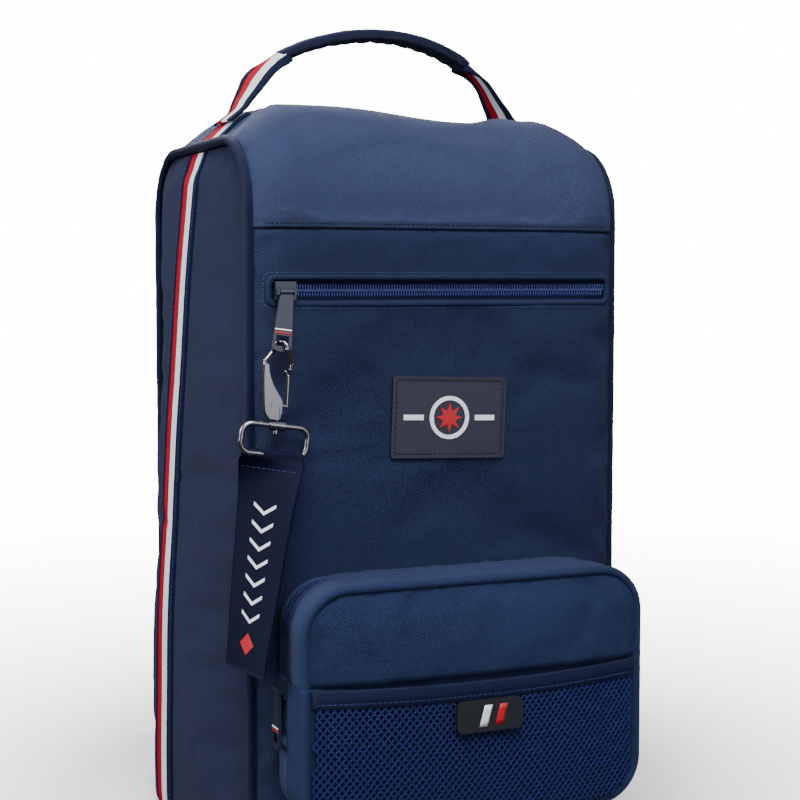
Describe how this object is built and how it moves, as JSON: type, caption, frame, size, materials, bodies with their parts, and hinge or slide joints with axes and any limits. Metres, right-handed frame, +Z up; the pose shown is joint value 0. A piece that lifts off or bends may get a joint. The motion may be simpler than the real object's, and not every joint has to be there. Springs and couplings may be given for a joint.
{
  "type": "boot and shoe bag",
  "caption": "Upright padded fabric boot and shoe bag with a full back door, a zipped cargo pocket with a mesh pocket, a front slot pocket, a top handle and a hanging strap tag.",
  "frame": {"origin": "centre of the base, on the floor", "axes": "+Z up; the front with the pockets faces -Y; +X is right as seen from the front"},
  "size_m": [0.2922, 0.2908, 0.509],
  "materials": {
    "shell_fabric": "navy polyester twill over padding",
    "shell_fabric_dark": "darker navy polyester twill",
    "side_fabric": "navy polyester twill over foam",
    "piping_fabric": "bias tape over a cord",
    "striped_webbing": "woven webbing striped navy, white, red, navy",
    "foam": "closed-cell foam",
    "board": "stiffener sheet",
    "lining": "thin pocket lining",
    "zip_tape": "royal navy zip tape",
    "zip_coil": "monofilament coil chain",
    "patch_rubber": "moulded slate rubber",
    "print_white": "raised white print",
    "print_red": "raised red print",
    "mesh_net": "open indigo net",
    "hem_tape": "elasticated hem band",
    "label_rubber": "moulded label",
    "puller_metal": "slate paint, satin",
    "gunmetal": "polished dark nickel",
    "tag_satin": "satin navy ribbon"
  },
  "bodies": {
    "bag": {"front_panel": "shell_fabric_dark", "shoulder_panel": "shell_fabric", "back_frame": "shell_fabric", "base_panel": "shell_fabric_dark", "base_board": "board", "side_panel_left": "side_fabric", "side_panel_right": "side_fabric", "piping_left": "piping_fabric", "piping_right": "piping_fabric", "webbing_left": "striped_webbing", "webbing_right": "striped_webbing", "front_foam": "foam", "side_foam_left": "foam", "side_foam_right": "foam", "front_zip_tape": "zip_tape", "front_zip_coil": "zip_coil", "front_pocket_pouch": "lining", "patch": "patch_rubber", "patch_emblem_white": "print_white", "patch_emblem_red": "print_red", "pocket_gusset": "shell_fabric", "pocket_front": "shell_fabric_dark", "pocket_piping": "piping_fabric", "pocket_back_strip": "shell_fabric", "pocket_zip_fixed": "zip_coil", "pocket_mesh": "mesh_net", "mesh_hem": "hem_tape", "hem_label": "label_rubber", "back_zip_fixed": "zip_coil"},
    "handle": {"handle_webbing": "striped_webbing", "handle_grip": "piping_fabric"},
    "front_slider_body": {"front_slider": "puller_metal"},
    "front_puller_body": {"front_puller": "puller_metal"},
    "clasp": {"clasp_body": "gunmetal", "clasp_rivet": "gunmetal"},
    "gate": {"clasp_gate": "gunmetal"},
    "swivel": {"swivel_eye": "gunmetal"},
    "ring": {"swivel_ring": "gunmetal"},
    "tag": {"tag_strap": "tag_satin"},
    "pocket_lid": {"lid_panel": "shell_fabric_dark", "lid_gusset": "shell_fabric", "lid_piping": "piping_fabric", "lid_zip": "zip_coil", "lid_flap": "shell_fabric"},
    "pocket_slider_body": {"pocket_slider": "puller_metal"},
    "pocket_puller_body": {"pocket_puller": "puller_metal"},
    "back_door": {"door_panel": "shell_fabric", "door_foam": "foam", "door_zip": "zip_coil"},
    "back_slider_left_body": {"back_slider_left": "puller_metal"},
    "back_slider_right_body": {"back_slider_right": "puller_metal"},
    "back_puller_left_body": {"back_puller_left": "puller_metal"},
    "back_puller_right_body": {"back_puller_right": "puller_metal"}
  },
  "joints": [
    {"name": "handle_swing", "type": "hinge", "parent": "bag", "child": "handle", "pos_m": [0, 0, 0.4525], "axis": [1, 0, 0], "range_deg": [-60, 60], "stiffness_Nm_per_rad": 0.3},
    {"name": "front_zip", "type": "slide", "parent": "bag", "child": "front_slider_body", "axis": [1, 0, 0], "range_m": [0, 0.2], "deforming": ["tag_strap"]},
    {"name": "front_puller_swing", "type": "hinge", "parent": "front_slider_body", "child": "front_puller_body", "pos_m": [-0.1035, -0.1198, 0.3374], "axis": [-1, 0, 0], "range_deg": [0, 90]},
    {"name": "clasp_swing", "type": "hinge", "parent": "front_puller_body", "child": "clasp", "pos_m": [-0.10809, -0.12293, 0.30487], "axis": [-1, 0, 0], "range_deg": [0, 45]},
    {"name": "gate_press", "type": "hinge", "parent": "clasp", "child": "gate", "pos_m": [-0.11361, -0.12293, 0.27328], "axis": [0, -1, 0], "range_deg": [0, 25], "stiffness_Nm_per_rad": 0.02},
    {"name": "swivel_turn", "type": "hinge", "parent": "clasp", "child": "swivel", "pos_m": [-0.11116, -0.12293, 0.26098], "axis": [-0.0698, 0, -0.9976], "range_deg": [-5, 15]},
    {"name": "ring_swing", "type": "hinge", "parent": "swivel", "child": "ring", "pos_m": [-0.11116, -0.12293, 0.26098], "axis": [-0.9903, 0, 0.1392], "range_deg": [0, 35]},
    {"name": "tag_swing", "type": "hinge", "parent": "ring", "child": "tag", "pos_m": [-0.11353, -0.12293, 0.24414], "axis": [-0.9903, 0, 0.1392], "range_deg": [0, 35]},
    {"name": "pocket_lid_fold", "type": "hinge", "parent": "bag", "child": "pocket_lid", "pos_m": [0, -0.162, 0.1153], "axis": [1, 0, 0], "range_deg": [0, 90]},
    {"name": "pocket_zip", "type": "slide", "parent": "bag", "child": "pocket_slider_body", "axis": [0, 0, 1], "range_m": [0, 0.034]},
    {"name": "pocket_puller_swing", "type": "hinge", "parent": "pocket_slider_body", "child": "pocket_puller_body", "pos_m": [-0.1125, -0.125, 0.1074], "axis": [0, 1, 0], "range_deg": [0, 90]},
    {"name": "back_door_fold", "type": "hinge", "parent": "bag", "child": "back_door", "pos_m": [0, 0.1083, 0.0305], "axis": [-1, 0, 0], "range_deg": [0, 90]},
    {"name": "back_zip_left", "type": "slide", "parent": "back_door", "child": "back_slider_left_body", "axis": [-1, 0, 0], "range_m": [0, 0.045]},
    {"name": "back_zip_right", "type": "slide", "parent": "back_door", "child": "back_slider_right_body", "axis": [1, 0, 0], "range_m": [0, 0.045]},
    {"name": "back_puller_left_swing", "type": "hinge", "parent": "back_slider_left_body", "child": "back_puller_left_body", "pos_m": [-0.008, 0.1127, 0.3754], "axis": [1, 0, 0], "range_deg": [0, 120]},
    {"name": "back_puller_right_swing", "type": "hinge", "parent": "back_slider_right_body", "child": "back_puller_right_body", "pos_m": [0.009, 0.1127, 0.3754], "axis": [1, 0, 0], "range_deg": [0, 120]}
  ]
}
